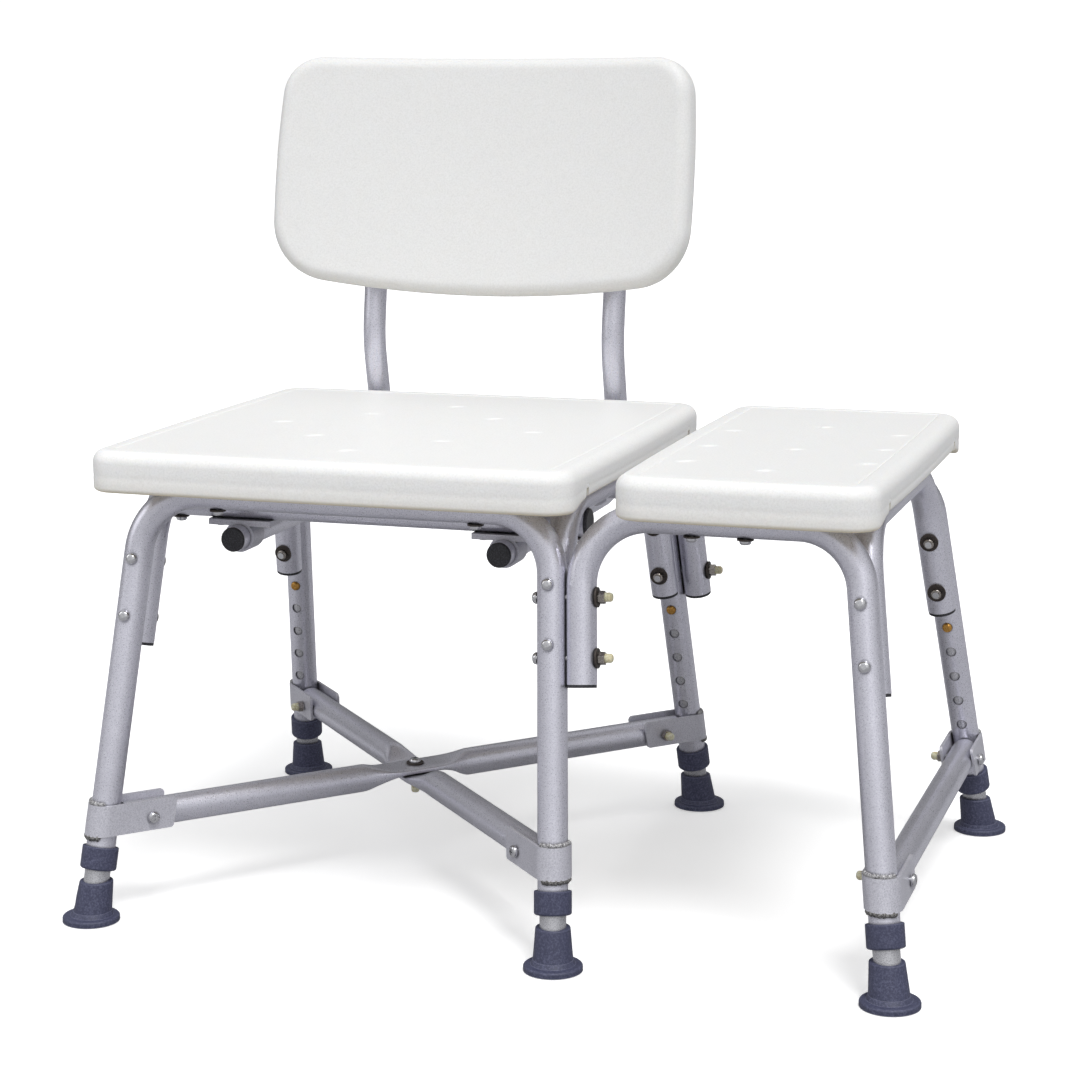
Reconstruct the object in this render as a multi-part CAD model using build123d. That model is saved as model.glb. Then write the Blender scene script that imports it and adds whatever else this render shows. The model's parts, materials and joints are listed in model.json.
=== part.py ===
from build123d import *
import math
import os

# Bath transfer bench: a main seat with a backrest and a transfer seat, on six leaning legs.
# Millimetres, +Z up, feet on z = 0. X runs along the two seats, Y from front to back.
# Pieces are modelled with x = 0 in the middle of the main frame, and shifted on export so
# that the origin is the centre of the footprint.

# ---------------------------------------------------------------- driving dimensions
TUBE_D = 25.4            # frame tube
TUBE_WALL = 1.5
EXT_D = 22.2             # leg extension tube
EXT_WALL = 1.4
BACK_D = 22.2            # backrest tube
BACK_WALL = 1.5
R_OUT, R_IN = TUBE_D / 2, TUBE_D / 2 - TUBE_WALL
E_OUT, E_IN = EXT_D / 2, EXT_D / 2 - EXT_WALL
B_OUT, B_IN = BACK_D / 2, BACK_D / 2 - BACK_WALL
GAP = 0.1                # air between tubes that lie side by side
AIR = 0.05               # air between other parts that meet
SLIDE = 0.02             # air round plugs and sleeves
SIDE_STEP = TUBE_D + GAP     # axis to axis of two tubes side by side
BEND_R = 55.0            # centreline bend radius of the frame tubes

MAIN_HALF = 211.0        # main foot centre, from the middle of the main frame, along X
OUTER_X = 491.0          # outer foot centre, from the same middle
FOOT_Y = 247.0           # foot centre, from the middle, along Y
LEAN_X = 0.070           # lean along X per unit of height, main legs
LEAN_XR = 0.131          # the same, outer legs
LEAN_Y = 0.224           # lean along Y per unit of height
BAR_Z = 367.2            # centre height of every horizontal seat bar
X_SHIFT = -(OUTER_X - MAIN_HALF) / 2

LEG_END_Z = 47.0         # lower end of the leg tubes, inside the collars
SIDE_END_Z = 233.0       # lower end of the short legs of the side tubes
LINK_END_Z = 230.0       # lower end of the short legs of the transfer tubes
BOLT_ZS = (308.8, 260.0)     # leg to side tube bolts
LINK_ZS = (298.5, 249.5)     # leg to transfer tube bolts

HOLE_PITCH = 25.4        # height adjustment step
HOLE_COUNT = 5
HOLE_TOP_Z = 214.0
HOLE_D = 9.8
BUTTON_D = 9.0
EXT_LO_Z, EXT_TOP_Z = 9.0, 243.0

CROSS_Y = 96.0           # cross tubes, from the middle
CROSS_SADDLE = 5.5       # depth of the saddle in a cross tube under each side tube
CROSS_Z = BAR_Z - TUBE_D - GAP + CROSS_SADDLE
CROSS_HALF = 195.0
BACK_X = 124.0           # backrest tubes, from the middle of the main seat
BACK_Z = 319.5           # their height under the seat
BRACE_Z = 86.0           # braces and stretcher between the legs

SEAT_LO = BAR_Z + R_OUT + GAP    # panel underside rests on the bars
SEAT_HI = 410.0
SKIN = 3.2               # wall of the hollow seat and backrest panels

# M6 hardware
BOLT_R, BOLT_HOLE_R = 3.0, 3.15
NUT_BORE_R = 3.05
WASHER_BORE_R, WASHER_T = 3.3, 1.5
BOLT_DEPTH = 12.0        # seat bolt into the panel
CAP_R, CAP_ROUND = 3.9, 2.6

UP = Vector(0, 0, 1)
ROWS = {"front": -1, "rear": 1}      # row name and its side in Y

parts = {}               # file name: shapes that go into it


# ---------------------------------------------------------------- helpers
def add(name, shape):
    parts.setdefault(name, []).append(shape)


def save(name, shapes):
    solids = [solid for shape in shapes for solid in shape.solids()]
    piece = solids[0] if len(solids) == 1 else Compound(children=solids)
    export_step(piece.moved(Location((X_SHIFT, 0, 0))), f"parts/{name}.step")


def rod(point, direction, radius, start, end):
    """Cylinder about the line through point, between two distances along direction."""
    direction = Vector(direction).normalized()
    plane = Plane(origin=Vector(point) + direction * start, z_dir=direction)
    return extrude(plane * Circle(radius), amount=end - start)


def round_end(shape, direction, rounding, which=-1):
    """Round the edges farthest along direction, or nearest with which=0."""
    direction = Vector(direction)
    groups = shape.edges().group_by(lambda edge: edge.center().dot(direction))
    return fillet(groups[which], rounding)


def rounded_rod(point, direction, radius, start, end, rounding):
    """Rod with its far edge rounded."""
    return round_end(rod(point, direction, radius, start, end), direction, rounding)


def ring(point, direction, r_out, r_in, start, end):
    return (rod(point, direction, r_out, start, end)
            - rod(point, direction, r_in, start - 1, end + 1))


def centreline(points):
    return FilletPolyline(*points, radius=BEND_R)


def swept(path, radius):
    plane = Plane(origin=path @ 0, z_dir=path % 0)
    return sweep(plane * Circle(radius), path=path)


def bent_tube(points):
    path = centreline(points)
    return swept(path, R_OUT) - swept(path, R_IN)


def cross_head(point, direction, start, slot_start, radius, height, rounding, slot):
    """Pan head with a cross slot; start and slot_start are distances along direction."""
    head = rounded_rod(point, direction, radius, start, start + height, rounding)
    plane = Plane(origin=Vector(point) + direction * slot_start, z_dir=direction)
    length, width = slot
    return head - extrude(plane * (Rectangle(length, width) + Rectangle(width, length)), amount=3)


def add_capped_nut(point, direction, start, radius, height, cap_start, cap_height, bore_end):
    """Hexagon nut and the blind cap outside it, both bored to bore_end along direction."""
    bore = rod(point, direction, NUT_BORE_R, 0, bore_end)
    plane = Plane(origin=Vector(point) + direction * start, z_dir=direction)
    add("nuts", extrude(plane * RegularPolygon(radius, 6), amount=height) - bore)
    cap = rounded_rod(point, direction, CAP_R, cap_start, cap_start + cap_height, CAP_ROUND)
    add("nut_caps", cap - bore)


# ---------------------------------------------------------------- legs as axes
class Leg:
    """Straight leaning leg: a floor point and the direction up along its axis."""

    def __init__(self, x, y, lean_x, lean_y, frame_tube, side_tube):
        self.foot = Vector(x, y, 0)
        self.slope = Vector(lean_x, lean_y, 1)       # axis travel per unit of height
        self.axis = self.slope.normalized()
        self.inward = self.square(Vector(0, -1 if y > 0 else 1, 0))   # in Y, to the middle
        self.right = self.square(Vector(1, 0, 0))                     # towards +X
        self.frame_tube, self.side_tube = frame_tube, side_tube

    def square(self, direction):
        """The part of direction that is square to the leg, as a unit vector."""
        return (direction - self.axis * direction.dot(self.axis)).normalized()

    def at(self, z):
        return self.foot + self.slope * z

    def beside(self, z, step):
        """Point at height z on the axis shifted sideways by step."""
        return self.foot + self.slope * (z - step.Z) + step


# column: foot x, lean along X, tube that forms the leg, tube bolted to its inner side
COLUMNS = {
    "left": (-MAIN_HALF, LEAN_X, "{}_frame_tube", "left_side_tube"),
    "middle": (MAIN_HALF, -LEAN_X, "{}_frame_tube", "middle_side_tube"),
    "right": (OUTER_X, -LEAN_XR, "transfer_{}_tube", "transfer_side_tube"),
}
LEGS = {
    f"{row}_{column}": Leg(x, side * FOOT_Y, lean, -side * LEAN_Y, frame.format(row), side_tube)
    for row, side in ROWS.items()
    for column, (x, lean, frame, side_tube) in COLUMNS.items()
}
BAR_Y = LEGS["rear_left"].at(BAR_Z).Y        # front and rear seat bars, from the middle
SIDE_BAR_X = LEGS["front_middle"].at(BAR_Z).X    # main side bars, from the middle


# ---------------------------------------------------------------- frame tubes
def frame_points(row):
    """U across the main seat, down both main legs."""
    left, middle = LEGS[row + "_left"], LEGS[row + "_middle"]
    return [left.at(LEG_END_Z), left.at(BAR_Z), middle.at(BAR_Z), middle.at(LEG_END_Z)]


def side_points(column):
    """U from front to back, its short ends lying along the inner side of the legs."""
    front, rear = LEGS["front_" + column], LEGS["rear_" + column]
    front_step, rear_step = front.inward * SIDE_STEP, rear.inward * SIDE_STEP
    return [front.beside(SIDE_END_Z, front_step), front.beside(BAR_Z, front_step),
            rear.beside(BAR_Z, rear_step), rear.beside(SIDE_END_Z, rear_step)]


def transfer_points(row):
    """Short end beside the middle leg, across the transfer seat, down the outer leg."""
    middle, right = LEGS[row + "_middle"], LEGS[row + "_right"]
    step = middle.right * SIDE_STEP
    return [middle.beside(LINK_END_Z, step), middle.beside(BAR_Z, step),
            right.at(BAR_Z), right.at(LEG_END_Z)]


saddles = [swept(centreline(side_points(column)), R_OUT + AIR) for column in ("left", "middle")]

tubes = {}
for row, side in ROWS.items():
    tubes[row + "_frame_tube"] = bent_tube(frame_points(row))
    tubes[f"transfer_{row}_tube"] = bent_tube(transfer_points(row))
    cross = ring((0, side * CROSS_Y, CROSS_Z), (1, 0, 0), R_OUT, R_IN, -CROSS_HALF, CROSS_HALF)
    tubes[row + "_cross_tube"] = cross - saddles[0] - saddles[1]
for column, (_, _, _, name) in COLUMNS.items():
    tubes[name] = bent_tube(side_points(column))
cutters = {name: [] for name in tubes}       # holes for each tube, cut at the end


# ---------------------------------------------------------------- bolts through two tubes
def add_frame_bolt(centre, direction, tube_names, capped):
    """Domed bolt from the first tube, whose axis passes through centre, into the second."""
    grip = 2 * TUBE_D + GAP
    outer = centre - direction * R_OUT
    inner = outer + direction * (grip + AIR)
    head = rounded_rod(outer, -direction, radius=5.2, start=AIR, end=AIR + 4.2, rounding=3.4)
    end = grip + (12.0 if capped else 7.0)
    add("frame_bolts", head + rod(outer, direction, BOLT_R, -AIR, end))
    add("washers", ring(inner, direction, 8.5, WASHER_BORE_R, 0, WASHER_T))
    nut_start = WASHER_T + AIR
    if capped:
        add_capped_nut(inner, direction, nut_start, radius=5.6, height=6.0,
                       cap_start=7.6, cap_height=6.6, bore_end=12.2)
    else:
        nut = rounded_rod(inner, direction, radius=4.8, start=nut_start, end=nut_start + 4.0,
                          rounding=1.2)
        add("nuts", nut - rod(inner, direction, NUT_BORE_R, 0, 9))
    hole = rod(centre, direction, BOLT_HOLE_R, -R_OUT - 2, 2 * TUBE_D)
    for name in tube_names:
        cutters[name].append(hole)


for leg in LEGS.values():
    for z in BOLT_ZS:
        add_frame_bolt(leg.at(z), leg.inward, (leg.frame_tube, leg.side_tube), capped=False)
    # height adjustment holes facing the middle of the bench
    for k in range(HOLE_COUNT):
        centre = leg.at(HOLE_TOP_Z) - leg.axis * (HOLE_PITCH * k)
        cutters[leg.frame_tube].append(rod(centre, leg.inward, HOLE_D / 2, 4, R_OUT + 2))

for row in ROWS:
    leg = LEGS[row + "_middle"]
    for z in LINK_ZS:
        pair = (leg.frame_tube, f"transfer_{row}_tube")
        add_frame_bolt(leg.at(z), leg.right, pair, capped=True)


# ---------------------------------------------------------------- bolts into the seats
MAIN_BOLT_X = (-118.0, 118.0)
TRANSFER_BOLT_X = (305.0, 350.0)
seat_holes = {"main": [], "transfer": []}


def add_seat_bolt(seat_name, x, y, bar_z, *tube_names):
    """Pan head and washer under the bar at bar_z, shank up into the seat panel."""
    under = (x, y, bar_z - R_OUT)
    add("washers", ring(under, -UP, 7.0, WASHER_BORE_R, AIR, AIR + WASHER_T))
    head_start = WASHER_T + 2 * AIR
    head = rounded_rod(under, -UP, radius=5.0, start=head_start, end=head_start + 3.6,
                       rounding=2.4)
    shank = rod((x, y, 0), UP, BOLT_R, bar_z - R_OUT - 1.7, SEAT_LO + BOLT_DEPTH)
    add("seat_bolts", head + shank)
    for name in tube_names:
        cutters[name].append(rod((x, y, 0), UP, BOLT_HOLE_R, bar_z - 20, BAR_Z + 20))
    seat_holes[seat_name].append((x, y))


for row, side in ROWS.items():
    for x in MAIN_BOLT_X:
        add_seat_bolt("main", x, side * BAR_Y, BAR_Z, row + "_frame_tube")
for row, side in ROWS.items():
    for x in TRANSFER_BOLT_X:
        add_seat_bolt("transfer", x, side * BAR_Y, BAR_Z, f"transfer_{row}_tube")
for row, side in ROWS.items():
    for x, side_tube in ((-SIDE_BAR_X, "left_side_tube"), (SIDE_BAR_X, "middle_side_tube")):
        add_seat_bolt("main", x, side * CROSS_Y, CROSS_Z, row + "_cross_tube", side_tube)

# ---------------------------------------------------------------- backrest brackets
BRACKET_L, BRACKET_W, BRACKET_T = 60, 24, 5
BRACKET_SCREW_X = 22.5       # from the middle of the bracket
BRACKET_LOOP_WALL = 2.8
BRACKET_SCREW_R = 2.0


def add_backrest_bracket(x, y, cross_name):
    """Plate under a cross tube with a loop round a backrest tube, and its two screws."""
    top = CROSS_Z - R_OUT - AIR
    plate = Pos(x, y, top - BRACKET_T / 2) * Box(BRACKET_L, BRACKET_W, BRACKET_T)
    plate = fillet(plate.edges().filter_by(Axis.Z), 2.0)
    centre = (x, y, BACK_Z)
    loop = rod(centre, (0, 1, 0), B_OUT + BRACKET_LOOP_WALL, -BRACKET_W / 2, BRACKET_W / 2)
    bracket = plate + loop
    bracket -= rod(centre, (0, 1, 0), B_OUT + 0.1, -20, 20)
    for screw_x in (x - BRACKET_SCREW_X, x + BRACKET_SCREW_X):
        base = (screw_x, y, 0)
        bracket -= rod(base, UP, BRACKET_SCREW_R + 0.2, top - 12, top + 5)
        cutters[cross_name].append(rod(base, UP, BRACKET_SCREW_R + 0.05, top - 1, top + 6))
        head_start = BRACKET_T + AIR
        head = rounded_rod((screw_x, y, top), -UP, radius=4.0, start=head_start,
                           end=head_start + 2.4, rounding=1.6)
        shank = rod(base, UP, BRACKET_SCREW_R, top - 5.2, top + 5)
        add("bracket_screws", head + shank)
    add("backrest_brackets", bracket)


for row, side in ROWS.items():
    for x in (-BACK_X, BACK_X):
        add_backrest_bracket(x, side * CROSS_Y, row + "_cross_tube")

# ---------------------------------------------------------------- leg brackets
STRAP_LO_Z = 74.5
STRAP_H = 26.5
STRAP_T = 2.6
STRAP_IN = 13.15
STRAP_OUT = STRAP_IN + STRAP_T
EAR_LEN = 60.0
EAR_BOLT = 39.0              # leg axis to the bolt through the ears
BRACE_HEAD = dict(radius=5.4, height=3.6, rounding=2.6, slot=(5.2, 1.2))

# leg: leg at the other end of its brace, and the side of the bolt head
# (1 is left, -1 is right, looking along the brace from this leg)
BRACE_ENDS = {
    "front_left": ("rear_middle", -1), "front_middle": ("rear_left", 1),
    "front_right": ("rear_right", -1), "rear_left": ("front_middle", 1),
    "rear_middle": ("front_left", -1), "rear_right": ("front_right", 1),
}
brace_holes = {}


def leg_strap(leg, along):
    """Strap round the leg with two ears along the brace."""
    origin = leg.at(STRAP_LO_Z)
    plane = Plane(origin=origin, x_dir=along, z_dir=UP)
    outer = Circle(STRAP_OUT) + Pos(EAR_LEN / 2, 0) * Rectangle(EAR_LEN, 2 * STRAP_OUT)
    inner = (Circle(STRAP_IN)
             + Pos(EAR_LEN / 2 + 5, 0) * Rectangle(EAR_LEN + 10, 2 * STRAP_IN))
    strap = extrude(plane * (outer - inner), amount=STRAP_H * leg.slope.length, dir=leg.axis)
    corners = [edge for edge in strap.edges() if abs(edge.length - STRAP_T) < 0.4
               and (edge.center() - origin).dot(along) > EAR_LEN - 6]
    # guards the ear corner fillet; the ears stay square if it fails
    try:
        strap = fillet(corners, 3.5)
    except Exception:
        pass
    return strap


def add_brace_bolt(centre, head_direction):
    """Bolt across the ears with a capped nut on the other side."""
    seat_at = STRAP_OUT + 1.4
    head = cross_head(centre, head_direction, seat_at, seat_at + 2.0, **BRACE_HEAD)
    shank = rod(centre, head_direction, BOLT_R, -STRAP_OUT - 12.0, seat_at + 0.2)
    add("brace_bolts", head + shank)
    add_capped_nut(centre, -head_direction, seat_at, radius=5.4, height=5.0,
                   cap_start=seat_at + 5.05, cap_height=6.4, bore_end=STRAP_OUT + 12.1)


for name, (far_name, head_side) in BRACE_ENDS.items():
    leg = LEGS[name]
    along = (LEGS[far_name].at(BRACE_Z) - leg.at(BRACE_Z)).normalized()
    across = UP.cross(along)
    bolt_centre = leg.at(BRACE_Z) + along * EAR_BOLT
    brace_holes[name] = rod(bolt_centre, across, BOLT_HOLE_R, -20, 20)
    add("leg_bracket_" + name, leg_strap(leg, along) - brace_holes[name])
    add_brace_bolt(bolt_centre, across * head_side)

# ---------------------------------------------------------------- braces and stretcher
BRACE_SETBACK = 17.5         # leg axis to the end of a brace or the stretcher
FLAT_W, FLAT_T = 36.0, 6.0   # section of a brace where it is flattened at the crossing
FLAT_FROM = 40.0             # where the round tube takes over, from mid-length


def flat_brace(start_leg, end_leg, flat_rise):
    """Tube between two legs, flat at mid-length; flat_rise is the flat's height over the axis."""
    start, end = LEGS[start_leg].at(BRACE_Z), LEGS[end_leg].at(BRACE_Z)
    along = (end - start).normalized()
    middle = (start + end) * 0.5
    half = (end - start).length / 2 - BRACE_SETBACK
    tube = (ring(middle, along, R_OUT, R_IN, -half, -FLAT_FROM)
            + ring(middle, along, R_OUT, R_IN, FLAT_FROM, half))
    plate = Box(2 * FLAT_FROM + 16, FLAT_W, FLAT_T)
    plate = fillet(plate.edges().filter_by(Axis.X), FLAT_T * 0.45)
    plate = Plane(origin=middle + UP * flat_rise, x_dir=along, z_dir=UP) * plate
    centre_hole = rod((0, 0, 0), UP, BOLT_HOLE_R, BRACE_Z - 30, BRACE_Z + 30)
    return plate + tube - brace_holes[start_leg] - brace_holes[end_leg] - centre_hole


def transfer_stretcher():
    """Straight tube between the outer legs."""
    start, end = LEGS["front_right"].at(BRACE_Z), LEGS["rear_right"].at(BRACE_Z)
    tube = ring(start, (0, 1, 0), R_OUT, R_IN, BRACE_SETBACK,
                (end - start).length - BRACE_SETBACK)
    return tube - brace_holes["front_right"] - brace_holes["rear_right"]


def add_crossing_bolt():
    """Upright bolt where the two braces cross, head on top."""
    washer_r, washer_t = 8.0, 1.4
    top = Vector(0, 0, BRACE_Z + FLAT_T + 0.15)
    bottom = Vector(0, 0, BRACE_Z - FLAT_T - 0.15)
    add("washers", ring(top, UP, washer_r, WASHER_BORE_R, 0, washer_t))
    add("washers", ring(bottom, -UP, washer_r, WASHER_BORE_R, 0, washer_t))
    head = cross_head(top, UP, washer_t + AIR, 3.4, **BRACE_HEAD)
    add("brace_bolts", head + rod((0, 0, 0), UP, BOLT_R, bottom.Z - 14.0, top.Z + 1.6))
    add_capped_nut(bottom, -UP, washer_t + AIR, radius=5.4, height=5.5,
                   cap_start=7.0, cap_height=8.6, bore_end=14.1)


add("upper_brace_tube", flat_brace("front_left", "rear_middle", FLAT_T / 2 + AIR))
add("lower_brace_tube", flat_brace("rear_left", "front_middle", -FLAT_T / 2 - AIR))
add("transfer_stretcher_tube", transfer_stretcher())
add_crossing_bolt()

for name, tube in tubes.items():
    for cutter in cutters[name]:
        tube = tube - cutter
    add(name, tube)


# ---------------------------------------------------------------- tube plugs
def short_end_plug(leg, end_z, step):
    """Plug up into the short end of a tube that lies beside the leg."""
    point = leg.beside(end_z, step)
    return (rod(point, leg.axis, R_IN - SLIDE, 0, 12)
            + rod(point, leg.axis, R_OUT - 0.3, -2.6, -SLIDE)
            + rod(point, leg.axis, R_IN - 0.5, -1, 2))


def cross_plug(y, side):
    point = (side * CROSS_HALF, y, CROSS_Z)
    direction = (side, 0, 0)
    cap = rounded_rod(point, direction, R_OUT - 0.2, SLIDE, 3.2, 1.6)
    return cap + rod(point, direction, R_IN - SLIDE, -4.5, 0.1) - saddles[0] - saddles[1]


for leg in LEGS.values():
    add("tube_plugs", short_end_plug(leg, SIDE_END_Z, leg.inward * SIDE_STEP))
for row in ROWS:
    leg = LEGS[row + "_middle"]
    add("tube_plugs", short_end_plug(leg, LINK_END_Z, leg.right * SIDE_STEP))
for y in (-CROSS_Y, CROSS_Y):
    for side in (-1, 1):
        add("tube_plugs", cross_plug(y, side))

# ---------------------------------------------------------------- telescoping legs
COLLAR_D = 31.6
COLLAR_LO_Z, COLLAR_HI_Z = 43.5, 63.0
TIP_FLANGE_D, TIP_FLANGE_T = 49.6, 5.0
TIP_TOP_Z = 34.0
CONE_LO_R, CONE_HI_R = 19.2, 17.05   # short cone between flange and cup
CUP_LO_R, CUP_HI_R = 17.4, 14.6
PIN_START = E_IN - 1.6               # inner end of the snap button, from the leg axis
PIN_END = R_OUT + 2.6
SPRING_T, SPRING_W = 0.8, 9.0


def leg_collar(leg):
    """Sleeve over the lower end of the leg tube, stepped down to the extension."""
    low, high = COLLAR_LO_Z * leg.slope.length, COLLAR_HI_Z * leg.slope.length
    tube_end = LEG_END_Z * leg.slope.length
    collar = rod(leg.foot, leg.axis, COLLAR_D / 2, low, high)
    collar = round_end(collar, leg.axis, 2.2, which=0)
    collar = round_end(collar, leg.axis, 0.8)
    return (collar - rod(leg.foot, leg.axis, R_OUT + SLIDE, tube_end - SLIDE,
                         (COLLAR_HI_Z + 2 / leg.slope.length) * leg.slope.length)
            - rod(leg.foot, leg.axis, E_OUT + 0.25, low - 2 * leg.slope.length, high))


def leg_extension(leg):
    """Inner tube with one hole for the snap button."""
    stretch = leg.slope.length
    tube = ring(leg.foot, leg.axis, E_OUT, E_IN, EXT_LO_Z * stretch, EXT_TOP_Z * stretch)
    return tube - rod(leg.at(HOLE_TOP_Z), leg.inward, BUTTON_D / 2 + 0.25, 4, 20)


def cone(leg, low_z, low_r, high_z, high_r):
    """Level-ended cone that leans with the leg."""
    return loft([Plane(origin=leg.at(low_z)) * Circle(low_r),
                 Plane(origin=leg.at(high_z)) * Circle(high_r)])


def rubber_tip(leg):
    """Flange flat on the floor, cup along the leg."""
    stretch = leg.slope.length
    flange = rounded_rod(leg.foot, UP, TIP_FLANGE_D / 2, 0, TIP_FLANGE_T, 2.0)
    foot_cone = cone(leg, TIP_FLANGE_T - 1.0, CONE_LO_R, TIP_FLANGE_T + 3.5, CONE_HI_R)
    cup = cone(leg, 2.0, CUP_LO_R, TIP_TOP_Z, CUP_HI_R)
    cup = fillet(cup.faces().sort_by(Axis.Z)[-1].edges(), 1.0)
    socket = rod(leg.foot, leg.axis, E_OUT + SLIDE, EXT_LO_Z * stretch - 0.05,
                 TIP_TOP_Z * stretch + 5)
    return (flange + foot_cone + cup) - socket


def button_spring(leg):
    """Leaf spring folded to a V inside the extension, one arm behind the button."""
    # local x runs up the leg, local y inward
    plane = Plane(origin=leg.at(HOLE_TOP_Z), x_dir=leg.axis, z_dir=leg.axis.cross(leg.inward))
    button_y = PIN_START - SPRING_T / 2 - AIR
    wall_y = -(math.sqrt((E_IN - 0.12) ** 2 - (SPRING_W / 2) ** 2) - SPRING_T / 2)
    points = [(8, button_y), (-9, button_y), (-46, 1.6), (-50, 0.9),
              (-50, -0.9), (-46, -1.6), (-20, wall_y), (8, wall_y)]
    pieces = []
    for (xa, ya), (xb, yb) in zip(points[:-1], points[1:]):
        length = math.hypot(xb - xa, yb - ya)
        angle = math.degrees(math.atan2(yb - ya, xb - xa))
        middle = Pos((xa + xb) / 2, (ya + yb) / 2)
        pieces.append(middle * Rot(0, 0, angle) * Rectangle(length, SPRING_T))
        pieces.append(Pos(xb, yb) * Circle(SPRING_T / 2))
    profile = pieces[0]
    for piece in pieces[1:]:
        profile = profile + piece
    return extrude(plane * profile, amount=SPRING_W / 2, both=True)


for name, leg in LEGS.items():
    add("leg_collars", leg_collar(leg))
    add("leg_extension_" + name, leg_extension(leg))
    add("rubber_tip_" + name, rubber_tip(leg))
    add("snap_button_" + name, rounded_rod(leg.at(HOLE_TOP_Z), leg.inward, BUTTON_D / 2,
                                           PIN_START, PIN_END, 2.2))
    add("button_spring_" + name, button_spring(leg))

# ---------------------------------------------------------------- seats
MAIN_SEAT_X = (-216.0, 216.0)
TRANSFER_SEAT_X = (251.0, 467.0)
SEAT_HALF_Y = 222.0
SEAT_CORNER = 24.0
SEAT_ROUND = 11.0
SKIRT_LO = 374.0             # lower edge of the rim
SKIRT_SIDE = 382.5           # the same, where it is raised along both sides
SIDE_HALF_Y = 170.0          # half length of the raised part
POST_R = 9.0                 # solid posts between the skins
DRAIN_R = 2.4
# drain hole centres (x, y)
MAIN_DRAINS = [(-120, -12), (-60, 58), (0, 124), (60, 58),
               (120, -12), (-60, -84), (60, -84), (0, -156)]
TRANSFER_DRAINS = [(288, 50), (362, 92), (436, 62), (288, -42), (364, -42),
                   (438, -22), (290, -128), (438, -100), (364, -158)]


def bowed_face(x0, x1, inset, bow, corner):
    """Seat outline drawn in by inset, its four sides bowed outwards."""
    x0, x1 = x0 + inset, x1 - inset
    y1 = SEAT_HALF_Y - inset
    y0, xc = -y1, (x0 + x1) / 2
    edges = [
        ThreePointArc((x0, y0), (xc, y0 - bow), (x1, y0)),
        ThreePointArc((x1, y0), (x1 + bow, 0), (x1, y1)),
        ThreePointArc((x1, y1), (xc, y1 + bow), (x0, y1)),
        ThreePointArc((x0, y1), (x0 - bow, 0), (x0, y0)),
    ]
    face = make_face(Curve() + edges)
    return fillet(face.vertices(), corner)


def seat(x0, x1, bolts, drains, bar_clearance=False):
    face = bowed_face(x0, x1, 0, 3.0, SEAT_CORNER)
    block = extrude(Plane(origin=(0, 0, SKIRT_LO)) * face, amount=SEAT_HI - SKIRT_LO)
    block = fillet(block.faces().sort_by(Axis.Z)[-1].edges(), SEAT_ROUND)
    block = fillet(block.faces().sort_by(Axis.Z)[0].edges(), 4.0)
    # recess that leaves a rim all round the underside
    recess = extrude(Plane(origin=(0, 0, SKIRT_LO - 5)) * bowed_face(x0, x1, 13.0, 2.0, 14.0),
                     amount=SEAT_LO - SKIRT_LO + 5)
    block = block - recess
    # room in the left rim for the bars that pass out under it
    if bar_clearance:
        for side in (-1, 1):
            block -= rod((x0, side * BAR_Y, BAR_Z), (1, 0, 0), R_OUT + 0.4, -6, 16)
    # rim raised along both sides, with a notch at each end of the raised part
    for x in (x0, x1):
        block -= Pos(x, 0, SKIRT_SIDE - 15) * Box(40, 2 * SIDE_HALF_Y, 30)
        for side in (-1, 1):
            block -= Pos(x, side * (SIDE_HALF_Y - 3), SKIRT_SIDE) * Box(30, 7, 12)
    # hollow between the skins, with posts at the bolts and drains
    void = extrude(Plane(origin=(0, 0, SEAT_LO + SKIN)) * bowed_face(x0, x1, 17, 2.0, 16.0),
                   amount=SEAT_HI - SEAT_LO - 2 * SKIN)
    for x, y in bolts + drains:
        void -= rod((x, y, 0), UP, POST_R, SEAT_LO, SEAT_HI)
    block -= void
    for x, y in bolts:
        block -= rod((x, y, 0), UP, NUT_BORE_R, SEAT_LO - 1, SEAT_LO + BOLT_DEPTH + 0.5)
    for x, y in drains:
        block -= rod((x, y, 0), UP, DRAIN_R, SEAT_LO - 5, SEAT_HI + 5)
    return block


add("seat_panel", seat(*MAIN_SEAT_X, seat_holes["main"], MAIN_DRAINS))
add("transfer_seat_panel", seat(*TRANSFER_SEAT_X, seat_holes["transfer"], TRANSFER_DRAINS,
                                bar_clearance=True))

# ---------------------------------------------------------------- backrest tubes
# corners of the tube centreline (y, z): front end, rear bend, upper bend, top end
BACK_POINTS = [(-121.0, BACK_Z), (262.2, BACK_Z), (230.0, 460.5), (258.4, 650.0)]
REAR_BEND_R, UPPER_BEND_R = 55.0, 110.0
BACK_SCREW_STEPS = (100.0, 165.0)    # from the upper bend corner, up the tube
BACK_SCREW_R = 2.4
BACK_HEAD = dict(radius=4.8, height=3.2, rounding=2.2, slot=(4.6, 1.1))


def back_corners(x):
    return [Vector(x, y, z) for y, z in BACK_POINTS]


_, _, upper_bend, top_end = back_corners(0)
back_up = (top_end - upper_bend).normalized()
back_rear = Vector(0, back_up.Z, -back_up.Y)     # square to the upper tubes, backwards


def up_the_tube(x, distance):
    """Point on the upper straight, measured from the upper bend corner."""
    return back_corners(x)[2] + back_up * distance


def bend(before, corner, after, radius):
    """Start, middle and end of the arc that rounds a corner."""
    to_before, to_after = (before - corner).normalized(), (after - corner).normalized()
    half = math.acos(max(-1, min(1, to_before.dot(to_after)))) / 2
    tangent = radius / math.tan(half)
    bisector = (to_before + to_after).normalized()
    return (corner + to_before * tangent,
            corner + bisector * (radius / math.sin(half) - radius),
            corner + to_after * tangent)


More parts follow.
